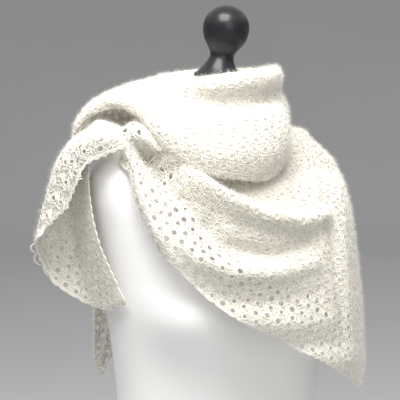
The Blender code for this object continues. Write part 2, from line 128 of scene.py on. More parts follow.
# Cowl: angle, then radius and height of its rim, shoulder, pocket, ridge, belly and lower fold
COWL = (
    (-180, (0.072, 0.672), (0.106, 0.677), (0.132, 0.667), (0.150, 0.661), (0.157, 0.655), (0.151, 0.647)),
    (-168, (0.074, 0.677), (0.100, 0.676), (0.118, 0.664), (0.130, 0.657), (0.138, 0.647), (0.136, 0.637)),
    (-160, (0.076, 0.679), (0.098, 0.676), (0.112, 0.661), (0.126, 0.653), (0.1384, 0.640), (0.1396, 0.626)),
    (-150, (0.078, 0.681), (0.096, 0.675), (0.106, 0.658), (0.122, 0.647), (0.143, 0.624), (0.142, 0.602)),
    (-124, (0.080, 0.686), (0.096, 0.675), (0.090, 0.651), (0.113, 0.636), (0.137, 0.598), (0.135, 0.567)),
    (-95, (0.078, 0.692), (0.092, 0.680), (0.084, 0.652), (0.109, 0.632), (0.126, 0.593), (0.119, 0.560)),
    (-68, (0.075, 0.697), (0.088, 0.686), (0.080, 0.658), (0.100, 0.638), (0.109, 0.604), (0.100, 0.573)),
    (-40, (0.073, 0.700), (0.081, 0.691), (0.079, 0.668), (0.084, 0.650), (0.089, 0.634), (0.090, 0.620)),
    (-5, (0.073, 0.700), (0.081, 0.690), (0.082, 0.674), (0.085, 0.668), (0.092, 0.660), (0.095, 0.650)),
    (30, (0.074, 0.700), (0.084, 0.692), (0.090, 0.673), (0.096, 0.662), (0.102, 0.652), (0.102, 0.640)),
    (80, (0.074, 0.698), (0.086, 0.690), (0.095, 0.668), (0.104, 0.652), (0.112, 0.636), (0.111, 0.620)),
    (120, (0.072, 0.690), (0.092, 0.687), (0.112, 0.667), (0.124, 0.652), (0.134, 0.633), (0.133, 0.616)),
    (150, (0.070, 0.680), (0.098, 0.680), (0.130, 0.666), (0.152, 0.650), (0.166, 0.627), (0.168, 0.604)),
    (167, (0.070, 0.674), (0.105, 0.678), (0.140, 0.667), (0.166, 0.653), (0.184, 0.634), (0.190, 0.612)),
    (174, (0.071, 0.673), (0.106, 0.677), (0.138, 0.668), (0.160, 0.658), (0.174, 0.648), (0.178, 0.638)),
)
COWL_LINES = 6

# Near end: ribs from the gathers to the hem, (across, depth, height) in the arranged view
NEAR_END = (
    ((-0.1117, -0.121, 0.602), (-0.144, -0.128, 0.589), (-0.161, -0.125, 0.579), (-0.170, -0.122, 0.562),
     (-0.185, -0.112, 0.529), (-0.199, -0.105, 0.515), (-0.222, -0.092, 0.488)),
    ((-0.1127, -0.117, 0.609), (-0.140, -0.128, 0.613), (-0.154, -0.126, 0.608), (-0.172, -0.118, 0.593),
     (-0.187, -0.110, 0.559), (-0.203, -0.100, 0.525), (-0.225, -0.085, 0.484)),
    ((-0.1147, -0.108, 0.616), (-0.138, -0.108, 0.622), (-0.156, -0.104, 0.620), (-0.176, -0.098, 0.610),
     (-0.199, -0.090, 0.580), (-0.214, -0.082, 0.533), (-0.227, -0.074, 0.483), (-0.223, -0.066, 0.460)),
    ((-0.1167, -0.100, 0.620), (-0.141, -0.097, 0.628), (-0.156, -0.086, 0.624), (-0.181, -0.073, 0.594),
     (-0.193, -0.062, 0.544), (-0.201, -0.058, 0.494), (-0.212, -0.056, 0.453), (-0.204, -0.058, 0.427)),
    ((-0.1187, -0.091, 0.622), (-0.144, -0.085, 0.630), (-0.159, -0.071, 0.622), (-0.177, -0.060, 0.582),
     (-0.184, -0.053, 0.522), (-0.180, -0.050, 0.472), (-0.178, -0.050, 0.433), (-0.170, -0.056, 0.406)),
    ((-0.1207, -0.082, 0.622), (-0.146, -0.073, 0.626), (-0.160, -0.061, 0.610), (-0.170, -0.064, 0.568),
     (-0.172, -0.068, 0.513), (-0.168, -0.067, 0.469), (-0.158, -0.070, 0.430), (-0.138, -0.086, 0.400)),
    ((-0.1227, -0.074, 0.619), (-0.148, -0.066, 0.615), (-0.158, -0.068, 0.594), (-0.160, -0.094, 0.562),
     (-0.155, -0.102, 0.516), (-0.146, -0.105, 0.480), (-0.132, -0.108, 0.447), (-0.114, -0.118, 0.413)),
)

# Far end over the back of the wrap: height, the angles of its two edges, distance off the wrap
FAR_END = (
    (0.612, 108, 126, 0.0034), (0.580, 106, 129, 0.0090), (0.520, 105, 131, 0.0100), (0.450, 106, 132, 0.0110),
    (0.390, 108, 131, 0.0115), (0.350, 112, 130, 0.0120), (0.322, 117, 130, 0.0120), (0.298, 122, 129, 0.0120),
    (0.284, 125, 127, 0.0120),
)

# Stitch pattern
STITCH_WIDE = 0.0152
STITCH_TALL = 0.0122
HOLE_AT = (0.50, 0.46)       # middle of the hole in its stitch, across and up
HOLE_HALF = (0.285, 0.330)   # middle of the yarn ring round it
HOLE_CUT = 0.0038            # radius cut in the cloth
TURN_GAP = 0.0008            # from the outer turn of the stole to the turn beneath
YARN = 0.00105               # yarn radius
LOOP_WIDE = 0.0105           # loops of the worked border
LOOP_REACH = 0.0030
FIBRE_WIDE = 0.00017

# Yarn paths in one stitch, (across, up) of each point as a share of the stitch, and thickness
STITCH_PATHS = (
    (((0.00, 0.00), (0.24, -0.07), (0.50, -0.10), (0.76, -0.07), (1.00, 0.00)), 1.00),
    (((0.00, -0.04), (-0.13, 0.42), (-0.24, 1.00)), 0.78),
    (((0.00, -0.04), (0.01, 0.50), (0.00, 1.00)), 0.78),
    (((0.00, -0.04), (0.14, 0.42), (0.24, 1.00)), 0.78),
    (((0.42, 0.70), (0.34, 1.02)), 0.80),
    (((0.58, 0.70), (0.66, 1.02)), 0.80),
)
RING_POINTS = 10

# piece, how it is made, closed round, free edges, flat size, fibres, both faces fuzzy,
# how far above the hem a turn lies beneath it, seed
STRETCHES = (
    ("stole_cowl", "cowl", True, (), (0.70, 0.125), 32000, False, 0.0, 11),
    ("stole_wrap", "wrap", False, ("hem",), (0.62, 0.33), 57000, False, 0.062, 12),
    ("stole_near_end", "near", False, ("hem", "first", "last"), (0.185, 0.155), 15000, True, None, 13),
    ("stole_far_end", "far", False, ("hem", "first", "last"), (0.075, 0.34), 9000, True, None, 14),
)

CREAM = (0.940, 0.895, 0.785)
CREAM_LIGHT = (0.975, 0.955, 0.895)
FORM_WHITE = (0.87, 0.865, 0.855)
CAP_BLACK = (0.010, 0.010, 0.012)
STAGE_PALE = (0.50, 0.505, 0.515)


# Curves and sections

def curve(xs, ys, x):
    """Smooth curve through a table that never overshoots it."""
    xs, ys = np.asarray(xs, float), np.asarray(ys, float)
    step = np.diff(xs)
    slope = np.diff(ys) / step
    lean = np.zeros_like(ys)
    lean[0], lean[-1] = slope[0], slope[-1]
    for i in range(1, len(xs) - 1):
        if slope[i - 1] * slope[i] > 0:
            w1, w2 = 2 * step[i] + step[i - 1], step[i] + 2 * step[i - 1]
            lean[i] = (w1 + w2) / (w1 / slope[i - 1] + w2 / slope[i])
    x = np.clip(np.asarray(x, float), xs[0], xs[-1])
    k = np.clip(np.searchsorted(xs, x) - 1, 0, len(step) - 1)
    t = (x - xs[k]) / step[k]
    near = ys[k] * (1 + 2 * t) * (1 - t) ** 2 + lean[k] * step[k] * t * (1 - t) ** 2
    return near + ys[k + 1] * t * t * (3 - 2 * t) + lean[k + 1] * step[k] * t * t * (t - 1)


def column(table, i):
    return [row[i] for row in table]


def unit(vectors):
    return vectors / np.maximum(np.linalg.norm(vectors, axis=-1, keepdims=True), 1e-12)


def resample(line, count):
    """Points at even steps along a broken line."""
    run = np.concatenate(([0], np.cumsum(np.linalg.norm(np.diff(line, axis=0), axis=1))))
    at = np.linspace(0, run[-1], count)
    return np.stack([np.interp(at, run, line[:, k]) for k in range(3)], axis=1)


def rounded(points, count):
    """Rounded line through the points, sampled at even steps."""
    pts = np.asarray(points, float)
    ends = np.vstack((2 * pts[0] - pts[1], pts, 2 * pts[-1] - pts[-2]))
    t = (np.arange(12) / 12)[:, None]
    runs = []
    for a, b, c, d in zip(ends, ends[1:], ends[2:], ends[3:]):
        runs.append(0.5 * (2 * b + (c - a) * t + (2 * a - 5 * b + 4 * c - d) * t ** 2
                           + (3 * b - a - 3 * c + d) * t ** 3))
    runs.append(pts[-1:])
    return resample(np.vstack(runs), count)


def oval(table, angle, height):
    """Radius of a squared oval whose front and back depths differ."""
    heights = column(table, 0)
    wide = curve(heights, column(table, 1), height)
    front, back = [curve(heights, column(table, k), height) for k in (2, 3)]
    deep = np.where(np.sin(angle) < 0, front, back)
    n = SQUARENESS
    return ((abs(np.cos(angle)) / wide) ** n + (abs(np.sin(angle)) / deep) ** n) ** (-1 / n)


def form_radius(angle, height):
    radius = oval(FORM, angle, height)
    for side in (-1, 1):
        turn = (angle + pi / 2 - side * BUST["angle"] + pi) % (2 * pi) - pi
        lift = ((height - BUST["height"]) / BUST["reach"]) ** 2 + (turn / BUST["spread"]) ** 2
        radius = radius + BUST["rise"] * np.exp(-lift)
    return radius


def drape_radius(angle, heights):
    """Cloth hangs from the widest place above it, and stands off where it is gathered."""
    body = form_radius(angle, heights) + CLEAR
    free = oval(DRAPE, angle, heights)
    turn = (angle - GATHER["angle"] + pi) % (2 * pi) - pi
    bunch = np.exp(-(turn / GATHER["spread"]) ** 2 - ((heights - GATHER["height"]) / GATHER["reach"]) ** 2)
    stand = 0.10 + (GATHER["radius"] - 0.10) * bunch
    return np.maximum.accumulate(np.maximum(np.maximum(body, free), np.where(bunch > 0.02, stand, 0)))


def from_view(across, depth, height):
    return (across * cos(LOOK) + depth * sin(LOOK), -across * sin(LOOK) + depth * cos(LOOK), height)


# Cloth shapes

def crest_share(across, height, crest, breadth):
    """How much of a fold's rise reaches each point."""
    best = np.zeros_like(across)
    count = len(crest) - 1
    for i in range(count):
        (x0, z0), (x1, z1) = crest[i], crest[i + 1]
        length = (x1 - x0) ** 2 + (z1 - z0) ** 2
        t = np.clip(((across - x0) * (x1 - x0) + (height - z0) * (z1 - z0)) / length, 0, 1)
        off = np.hypot(across - x0 - t * (x1 - x0), height - z0 - t * (z1 - z0))
        fade = 0.35 + 0.65 * np.sin(pi * np.clip(0.16 + 0.80 * (i + t) / count, 0, 1))
        best = np.maximum(best, fade * np.exp(-(off / breadth) ** 2))
    return best


def lift_folds(grid):
    out = ways_out(grid, False)
    across = grid[..., 0] * cos(LOOK) - grid[..., 1] * sin(LOOK)
    depth = grid[..., 0] * sin(LOOK) + grid[..., 1] * cos(LOOK)
    edge = np.minimum(abs(depth) / 0.030, 1)
    calm = np.minimum(np.linalg.norm(grid[-1] - grid[0], axis=1) / 0.070, 1)
    rise = np.zeros(grid.shape[:2])
    for side, crest, height, breadth in FOLDS:
        here = (depth < 0) if side == "front" else (depth >= 0)
        rise += here * height * crest_share(across, grid[..., 2], crest, breadth)
    return clear_of_form(grid + out * (rise * edge * calm)[..., None])


def clear_of_form(grid):
    """Move any point that a fold took too near the form straight out again."""
    reach = np.hypot(grid[..., 0], grid[..., 1])
    least = form_radius(np.arctan2(grid[..., 1], grid[..., 0]), grid[..., 2]) + CLEAR
    more = np.maximum(least / reach, 1)
    return grid * np.stack((more, more, np.ones_like(more)), axis=-1)


def ways_out(grid, closed):
    """The way out of the cloth at each of its points."""
    down = np.gradient(grid, axis=0)
    if closed:
        ring = grid[:, :-1]
        along = np.roll(ring, -1, axis=1) - np.roll(ring, 1, axis=1)
        along = np.concatenate((along, along[:, :1]), axis=1)
    else:
        along = np.gradient(grid, axis=1)
    return unit(np.cross(down, along))


def wrap_shape(cols, rows):
    """Meridians from under the cowl down to the hem, front round to back."""
    angles = column(WRAP, 0)
    reach = np.array([0.16 + 0.04 * abs(cos(radians(a))) for a in angles])
    run = np.concatenate(([0], np.cumsum(np.diff(np.radians(angles)) * reach[1:])))
    lines = []
    for share in np.linspace(0, run[-1], cols + 1):
        degrees = float(np.interp(share, run, angles))
        angle = radians(degrees)
        top = float(curve(angles, column(WRAP, 1), degrees))
        hem = float(curve(angles, column(WRAP, 2), degrees)) + LOOP_REACH
        heights = np.linspace(top, hem, 200)
        radius = drape_radius(angle, heights)
        line = np.stack((radius * cos(angle), radius * sin(angle), heights), axis=1)
        lines.append(resample(line, rows + 1))
    return lift_folds(np.array(lines).transpose(1, 0, 2))


def cowl_shape(cols, rows):
    """Closed ring: down inside the rim, over it, down the face and back under the lower fold."""
    angles = column(COWL, 0)
    wide = [a - 360 for a in angles] + angles + [a + 360 for a in angles]
    turns = np.linspace(-180, 180, cols + 1)
    radii = [curve(wide, [r[k][0] for r in COWL] * 3, turns) for k in range(1, COWL_LINES + 1)]
    levels = [curve(wide, [r[k][1] for r in COWL] * 3, turns) for k in range(1, COWL_LINES + 1)]
    radii = [radii[0] - 0.005] + radii + [radii[-1] - 0.004]
    levels = [levels[0] - 0.016] + levels + [levels[-1] - 0.0005]
    lines = []
    for i, turn in enumerate(np.radians(turns)):
        profile = [(r[i] * cos(turn), r[i] * sin(turn), z[i]) for r, z in zip(radii, levels)]
        lines.append(rounded(profile, rows + 1))
    return np.array(lines).transpose(1, 0, 2)


def near_shape(cols, rows):
    """Half sleeve lofted across its ribs."""
    ribs = np.array([rounded([from_view(*p) for p in rib], rows + 1) for rib in NEAR_END])
    return np.array([rounded(ribs[:, j], cols + 1) for j in range(rows + 1)])


def far_shape(cols, rows):
    """A pointed tail lying over the back of the wrap."""
    levels = FAR_END[::-1]
    shares = np.linspace(0, 1, cols + 1)
    grid = []
    for z in np.linspace(FAR_END[0][0], FAR_END[-1][0], rows + 1):
        start, end, off = [float(curve(column(levels, 0), column(levels, k), z)) for k in (1, 2, 3)]
        waves = 0.005 * (1 - np.cos(4 * pi * shares)) * min((end - start) / 20, 1)
        row = []
        for share, wave in zip(shares, waves):
            angle = radians(start + (end - start) * share)
            radius = float(drape_radius(angle, np.linspace(0.640, z, 40))[-1]) + off + wave
            row.append((radius * cos(angle), radius * sin(angle), z))
        grid.append(row)
    return np.array(grid)


SHAPES = {
    "cowl": (cowl_shape, 330, 76),
    "wrap": (wrap_shape, 400, 140),
    "near": (near_shape, 112, 112),
    "far": (far_shape, 34, 160),
}


class Cloth:
    """One stretch of the stole, and places on it by share across and distance square to its hem."""

    def __init__(self, shape, closed):
        make, cols, rows = SHAPES[shape]
        self.closed = closed
        self.grid = make(cols, rows)
        self.out = ways_out(self.grid, closed)
        self.rows, self.cols = rows, cols
        hem = unit(np.gradient(self.grid[-1], axis=0))
        hang = unit(self.grid[-1] - self.grid[-1 - rows // 4])
        upright = np.linalg.norm(np.cross(hem, hang), axis=1)
        upright = np.convolve(np.pad(upright, 12, mode="edge"), np.ones(25) / 25, mode="valid")
        self.length = np.linalg.norm(np.diff(self.grid, axis=0), axis=2).sum(axis=0) * upright

    def length_at(self, across):
        at = np.mod(across, 1) if self.closed else np.clip(across, 0, 1)
        return np.interp(at * self.cols, np.arange(self.cols + 1), self.length)

    def blend(self, values, across, up):
        """Values between the cloth's points; past an edge they carry on straight."""
        x = (np.mod(across, 1) if self.closed else across) * self.cols
        y = (1 - up / self.length_at(across)) * self.rows
        i = np.clip(np.floor(x).astype(int), 0, self.cols - 1)
        j = np.clip(np.floor(y).astype(int), 0, self.rows - 1)
        s, t = (x - i)[..., None], (y - j)[..., None]
        upper = values[j, i] * (1 - s) + values[j, i + 1] * s
        lower = values[j + 1, i] * (1 - s) + values[j + 1, i + 1] * s
        return upper * (1 - t) + lower * t

    def place(self, across, up):
        return self.blend(self.grid, across, up)

    def way_out(self, across, up):
        return unit(self.blend(self.out, across, up))


# Stitches

def lay_stitches(cloth):
    """Rows of stitches up from the hem: left and right share across, and distance up."""
    laid = []
    for k in range(int(cloth.length.max() / STITCH_TALL) + 1):
        low = k * STITCH_TALL
        across = np.linspace(0, 1, cloth.cols + 1)
        fits = cloth.length_at(across) >= low + 0.8 * STITCH_TALL
        steps = np.linalg.norm(np.diff(cloth.place(across, np.full(len(across), low)), axis=0), axis=1)
        steps = np.where(fits[:-1] & fits[1:], steps, 0)
        run = np.concatenate(([0], np.cumsum(steps)))
        count = int(round(run[-1] / STITCH_WIDE))
        if count < 1:
            continue
        edges = (np.arange(count + 1) + 0.5 * (k % 2)) * run[-1] / count
        if cloth.closed:
            at = np.interp(edges, np.append(run, run[1:] + run[-1]), np.append(across, across[1:] + 1))
        else:
            at = np.interp(edges, run + np.arange(len(run)) * 1e-12, across)
            at = np.where(edges > run[-1] + 1e-9, np.nan, at)
        for a, b in zip(at[:-1], at[1:]):
            middle = (a + b) / 2
            if np.isfinite(middle) and cloth.length_at(np.array(middle)) >= low + 0.8 * STITCH_TALL:
                laid.append((a, b, low))
    return np.array(laid)


def on_stitches(cloth, laid, shares, wobble):
    """Points and ways out for each stitch's share of the way across and up, kept square on slanted rows."""
    across, up = laid[:, 0:2].mean(axis=1), laid[:, 2] + STITCH_TALL / 2
    small = 0.002
    sideways = (cloth.place(across + small, up) - cloth.place(across - small, up)) / (2 * small)
    upwards = (cloth.place(across, up + small) - cloth.place(across, up - small)) / (2 * small)
    first = unit(sideways)
    second = unit(upwards - first * (upwards * first).sum(axis=1, keepdims=True))
    rise, drift = [(upwards * way).sum(axis=1, keepdims=True) for way in (second, first)]
    pace = np.linalg.norm(sideways, axis=1, keepdims=True)
    wide = pace * (laid[:, 1:2] - laid[:, 0:1])
    over = wide * (shares[None, :, 0] - 0.5 + wobble[:, 0:1])
    more_up = STITCH_TALL * (shares[None, :, 1] - 0.5 + wobble[:, 1:2]) / rise
    places = across[:, None] + (over - more_up * drift) / pace
    heights = up[:, None] + more_up
    return cloth.place(places, heights), cloth.way_out(places, heights)


def tubes(points, out, radius, closed=False):
    """Four-sided yarn along each row of points; returns its points and faces."""
    if closed:
        along = np.roll(points, -1, axis=1) - np.roll(points, 1, axis=1)
    else:
        along = np.gradient(points, axis=1)
    along = unit(along)
    side = unit(np.cross(along, out))
    top = np.cross(side, along)
    radius = np.broadcast_to(np.asarray(radius, float).reshape(-1, 1, 1), points.shape[:2] + (1,))
    ring = [points + side * radius, points + top * radius, points - side * radius, points - top * radius]
    verts = np.stack(ring, axis=2)
    lines, stops = points.shape[:2]
    first = (np.arange(lines)[:, None] * stops + np.arange(stops)[None, :]) * 4
    here = first if closed else first[:, :-1]
    then = np.roll(first, -1, axis=1) if closed else first[:, 1:]
    faces = [np.stack((here + k, then + k, then + (k + 1) % 4, here + (k + 1) % 4), axis=-1).reshape(-1, 4)
             for k in range(4)]
    if not closed:
        faces.append(first[:, :1] + np.array([0, 1, 2, 3]))
        faces.append(first[:, -1:] + np.array([3, 2, 1, 0]))
    return verts.reshape(-1, 3), np.vstack(faces)


def work_stitches(cloth, laid, seed):
    """The yarn of every stitch: a ring round its hole, a fan at its corner, and the chain below."""
    draw = np.random.default_rng(seed)
    wobble = draw.normal(0, 0.045, (len(laid), 2))
    thick = YARN * draw.uniform(0.88, 1.16, len(laid))
    parts = []
    for path, share in STITCH_PATHS:
        points, out = on_stitches(cloth, laid, np.array(path), wobble * 0.6)
        parts.append(tubes(points, out, thick * share))
    turn = np.linspace(0, 2 * pi, RING_POINTS, endpoint=False)
    ring = np.stack((HOLE_AT[0] + HOLE_HALF[0] * np.cos(turn), HOLE_AT[1] + HOLE_HALF[1] * np.sin(turn)), axis=1)
    points, out = on_stitches(cloth, laid, ring, wobble)
    size = draw.uniform(0.80, 1.10, (len(laid), 1, 1))
    middle = points.mean(axis=1, keepdims=True)
    rings = [tubes(middle + (points - middle) * size, out, thick, closed=True)]
    return parts, rings, middle[:, 0], size[:, 0, 0]


def edge_line(cloth, edge):
    """A free edge as points, the way off the cloth, and the way out of it."""
    if edge == "hem":
        across = np.linspace(0, 1, 4 * cloth.cols)
        up = np.zeros_like(across)
        inner = cloth.place(across, up + 0.002)
    else:
        side = 0.0 if edge == "first" else 1.0
        inward = 0.02 if edge == "first" else -0.02
        up = np.linspace(0, cloth.length_at(np.array(side)), 4 * cloth.rows)
        across = np.full_like(up, side)
        inner = cloth.place(across + inward, up)
    line = cloth.place(across, up)
    return line, unit(line - inner), cloth.way_out(across, up)


def work_border(cloth, edge):
    """A cord along a free edge with a loop beyond it every few stitches."""
    line, off, out = edge_line(cloth, edge)
    run = np.concatenate(([0], np.cumsum(np.linalg.norm(np.diff(line, axis=0), axis=1))))

    def along(values, at):
        return np.stack([np.interp(at, run, values[:, k]) for k in range(3)], axis=-1)

    count = int(round(run[-1] / LOOP_WIDE))
    share = np.linspace(-0.08, 1.08, 7)
    at = (np.arange(2, count)[:, None] + share[None, :]) * run[-1] / count
    reach = LOOP_REACH * np.sin(pi * np.clip(share, 0, 1))[None, :, None]
    loops = along(line, at) + along(off, at) * reach
    cord_at = np.linspace(0, run[-1], max(int(run[-1] / 0.003), 4))[None, :]
    return [tubes(loops, along(out, at), YARN * 1.05), tubes(along(line, cord_at), along(out, cord_at), YARN * 1.1)]


# Pieces

def make_piece(name, points, quads, triangles, material):
    corners = np.concatenate((quads.ravel(), triangles.ravel())).astype(np.int32)
    starts = np.concatenate((np.arange(len(quads)) * 4, len(quads) * 4 + np.arange(len(triangles)) * 3))
    mesh = bpy.data.meshes.new(name)
    mesh.vertices.add(len(points))
    mesh.vertices.foreach_set("co", points.astype(np.float32).ravel())
    mesh.loops.add(len(corners))
    mesh.loops.foreach_set("vertex_index", corners)
    mesh.polygons.add(len(starts))
    mesh.polygons.foreach_set("loop_start", starts.astype(np.int32))
    mesh.update(calc_edges=True)
    mesh.validate()
    mesh.shade_smooth()
    mesh.materials.append(material)
    piece = bpy.data.objects.new(name, mesh)
    bpy.context.scene.collection.objects.link(piece)
    return piece


def join_parts(parts):
    points, faces, count = [], [], 0
    for p, f in parts:
        points.append(p)
        faces.append(f + count)
        count += len(p)
    return np.vstack(points), np.vstack(faces)


NO_TRIANGLES = np.zeros((0, 3), int)


def make_cloth(name, cloth, holes, sizes, material):
    """The thin cloth itself, open where the stitches leave a hole."""
    rows, cols = cloth.rows, cloth.cols
    width = cols if cloth.closed else cols + 1
    points = cloth.grid[:, :width].reshape(-1, 3)
    j, i = [a.ravel() for a in np.mgrid[0:rows, 0:cols]]
    right = (i + 1) % width
    quads = np.stack((j * width + i, (j + 1) * width + i, (j + 1) * width + right, j * width + right), axis=1)
    tree = kdtree.KDTree(len(holes))
    for k, hole in enumerate(holes):
        tree.insert(Vector(hole), k)
    tree.balance()
    middles = points[quads].mean(axis=1)
    found = [tree.find(Vector(m)) for m in middles]
    kept = np.array([far > HOLE_CUT * sizes[k] for _, k, far in found])
    return make_piece(name, points, quads[kept], NO_TRIANGLES, material)


def make_under_turn(name, cloth, above, material):
    """The turn of the stole that lies beneath the one that shows, from some way above its hem."""
    rows, cols = np.arange(0, cloth.rows + 1, 2), np.arange(0, cloth.cols + 1, 2)
    points = (cloth.grid - cloth.out * TURN_GAP)[rows][:, cols]
    j, i = [a.ravel() for a in np.mgrid[0:len(rows) - 1, 0:len(cols) - 1]]
    width = len(cols)
    quads = np.stack((j * width + i, (j + 1) * width + i, (j + 1) * width + i + 1, j * width + i + 1), axis=1)
    ragged = 0.006 * np.sin(i * 0.55) + 0.004 * np.sin(i * 1.7 + 1)
    up = cloth.length[cols[i]] * (1 - rows[j + 1] / cloth.rows)
    return make_piece(name, points.reshape(-1, 3), quads[up >= above + ragged * (above > 0)], NO_TRIANGLES, material)


def make_fibres(name, cloth, count, both, seed, material):
    """Mohair fibres standing off the cloth, each tapering to its tip."""
    draw = np.random.default_rng(seed + 100)
    grid = cloth.grid
    across, down = np.diff(grid, axis=1)[:-1], np.diff(grid, axis=0)[:, :-1]
    area = np.linalg.norm(np.cross(across, down), axis=2).ravel()
    pick = draw.choice(len(area), count, p=area / area.sum())
    j, i = np.divmod(pick, cloth.cols)
    root = grid[j, i] + across[j, i] * draw.random((count, 1)) + down[j, i] * draw.random((count, 1))
    out = cloth.out[j, i] * (np.where(draw.random((count, 1)) < 0.5, -1, 1) if both else 1)
    first, second = unit(across[j, i]), unit(down[j, i])
    turn = draw.uniform(0, 2 * pi, (count, 1))
    lay = first * np.cos(turn) + second * np.sin(turn)
    way = unit(lay + out * draw.uniform(0.10, 1.10, (count, 1)))
    curl = first * draw.normal(0, 0.35, (count, 1)) + second * draw.normal(0, 0.35, (count, 1))
    length = draw.uniform(0.0045, 0.0115, (count, 1))
    middle = root + way * length * 0.5
    tip = middle + unit(way + curl - out * 0.15) * length * 0.5
    side = unit(np.cross(way, draw.normal(0, 1, (count, 3)))) * FIBRE_WIDE / 2
    points = np.stack((root - side, root + side, middle + side * 0.8, middle - side * 0.8, tip), axis=1)
    base = np.arange(count)[:, None] * 5
    return make_piece(name, points.reshape(-1, 3), base + np.array([0, 1, 2, 3]), base + np.array([3, 2, 4]), material)


def make_stretch(name, shape, closed, free, flat, fibres, both, above, seed):
    """One stretch of the stole: cloth, worked yarn with its border, and fibres."""
    cloth = Cloth(shape, closed)
    laid = lay_stitches(cloth)
    fans, rings, holes, sizes = work_stitches(cloth, laid, seed)
    for edge in free:
        fans += work_border(cloth, edge)
    sheet = make_cloth(name + "_cloth", cloth, holes, sizes, haze_finish(name + "_haze"))
    yarn_look = yarn_finish(name + "_yarn")
    trims = [make_piece(name + "_fans", *join_parts(fans), NO_TRIANGLES, yarn_look),
             make_piece(name + "_rings", *join_parts(rings), NO_TRIANGLES, yarn_look),
             make_fibres(name + "_fibres", cloth, fibres, both, seed, fibre_finish(name + "_fibre"))]
    if above is not None:
        trims.append(make_under_turn(name + "_under_turn", cloth, above, wool_finish(name + "_wool")))
    for piece in (sheet, *trims):
        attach(piece, "root")
    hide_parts(name)


def clear_selection():
    bpy.ops.object.select_all(action="DESELECT")


def build_form():
    """Limbless form: a ring drawn up level by level, then each point moved out to its section."""
    clear_selection()
    step = NECK_TOP / FORM_LEVELS
    bpy.ops.mesh.primitive_circle_add(vertices=FORM_SIDES, radius=0.1, fill_type="NGON", location=(0, 0, 0))
    form = bpy.context.object
    form.name = form.data.name = "dress_form_body"
    bpy.ops.object.mode_set(mode="EDIT")
    for _ in range(FORM_LEVELS):
        bpy.ops.mesh.extrude_region_move(TRANSFORM_OT_translate={"value": (0, 0, step)})
    bpy.ops.object.mode_set(mode="OBJECT")
    for point in form.data.vertices:
        x, y, z = point.co
        angle = float(np.arctan2(y, x))
        radius = float(form_radius(angle, np.array(z)))
        share = min(max((z - NECK_FOOT) / (NECK_TOP - NECK_FOOT), 0), 1)
        x, y = radius * cos(angle), radius * sin(angle)
        toward = x * cos(NECK_LEAN) + y * sin(NECK_LEAN)
        point.co = (x, y, z - toward * tan(NECK_TILT) * share)
    face_out(form)
    bevel = form.modifiers.new("eased_edges", "BEVEL")
    bevel.width = 0.0012
    bevel.segments = 2
    bevel.limit_method = "ANGLE"
    bevel.angle_limit = radians(50)
    bpy.ops.object.modifier_apply(modifier=bevel.name)
    bpy.ops.object.shade_smooth_by_angle(angle=radians(40))
    form.data.materials.append(form_finish())
    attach(form, "root")
    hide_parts("dress_form")


def face_out(piece):
    clear_selection()
    piece.select_set(True)
    bpy.context.view_layer.objects.active = piece
    bpy.ops.object.mode_set(mode="EDIT")
    bpy.ops.mesh.select_all(action="SELECT")
    bpy.ops.mesh.normals_make_consistent(inside=False)
    bpy.ops.object.mode_set(mode="OBJECT")


def build_cap():
    """Turned cap with a ball finial, drawn up ring by ring from its seat."""
    clear_selection()
    bpy.ops.mesh.primitive_circle_add(vertices=CAP_SIDES, radius=CAP[0][0], fill_type="NGON", location=(0, 0, 0))
    cap = bpy.context.object
    cap.name = cap.data.name = "neck_cap_turned"
    bpy.ops.object.mode_set(mode="EDIT")
    for (r0, z0), (r1, z1) in zip(CAP, CAP[1:]):
        bpy.ops.mesh.extrude_region_move(TRANSFORM_OT_translate={"value": (0, 0, z1 - z0)})
        bpy.ops.transform.resize(value=(r1 / r0, r1 / r0, 1), center_override=(0, 0, z1))
    bpy.ops.mesh.extrude_region_move(TRANSFORM_OT_translate={"value": (0, 0, CAP_TOP - CAP[-1][1])})
    bpy.ops.mesh.merge(type="CENTER")
    bpy.ops.object.mode_set(mode="OBJECT")
    face_out(cap)
    smooth = cap.modifiers.new("smooth", "SUBSURF")
    smooth.levels = smooth.render_levels = 2
    bpy.ops.object.modifier_apply(modifier=smooth.name)
    bpy.ops.object.shade_smooth_by_angle(angle=radians(60))
    tilt = Matrix.Rotation(NECK_TILT, 4, Vector((-sin(NECK_LEAN), cos(NECK_LEAN), 0)))
    seat = Vector((0, 0, NECK_TOP)) + tilt @ Vector((0, 0, SEAT_GAP))
    cap.data.transform(Matrix.Translation(seat) @ tilt)
    cap.data.materials.append(cap_finish())
    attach(cap, "root")
    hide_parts("neck_cap")


# Finishes

def new_finish(name):
    finish = bpy.data.materials.new(name)
    finish.use_nodes = True
    return finish, finish.node_tree.nodes, finish.node_tree.links, finish.node_tree.nodes["Principled BSDF"]


def noise(nodes, links, scale, detail, place):
    texture = nodes.new("ShaderNodeTexNoise")
    texture.inputs["Scale"].default_value = scale
    texture.inputs["Detail"].default_value = detail
    links.new(place.outputs["Object"], texture.inputs["Vector"])
    return texture


def two_tone(nodes, links, source, low, high, dark, light):
    ramp = nodes.new("ShaderNodeValToRGB")
    ramp.color_ramp.elements[0].position = low
    ramp.color_ramp.elements[0].color = (*dark, 1)
    ramp.color_ramp.elements[1].position = high
    ramp.color_ramp.elements[1].color = (*light, 1)
    links.new(source.outputs["Fac"], ramp.inputs["Fac"])
    return ramp


def bump(nodes, links, source, strength, depth, shader):
    relief = nodes.new("ShaderNodeBump")
    relief.inputs["Strength"].default_value = strength
    relief.inputs["Distance"].default_value = depth
    links.new(source.outputs["Fac"], relief.inputs["Height"])
    links.new(relief.outputs["Normal"], shader.inputs["Normal"])


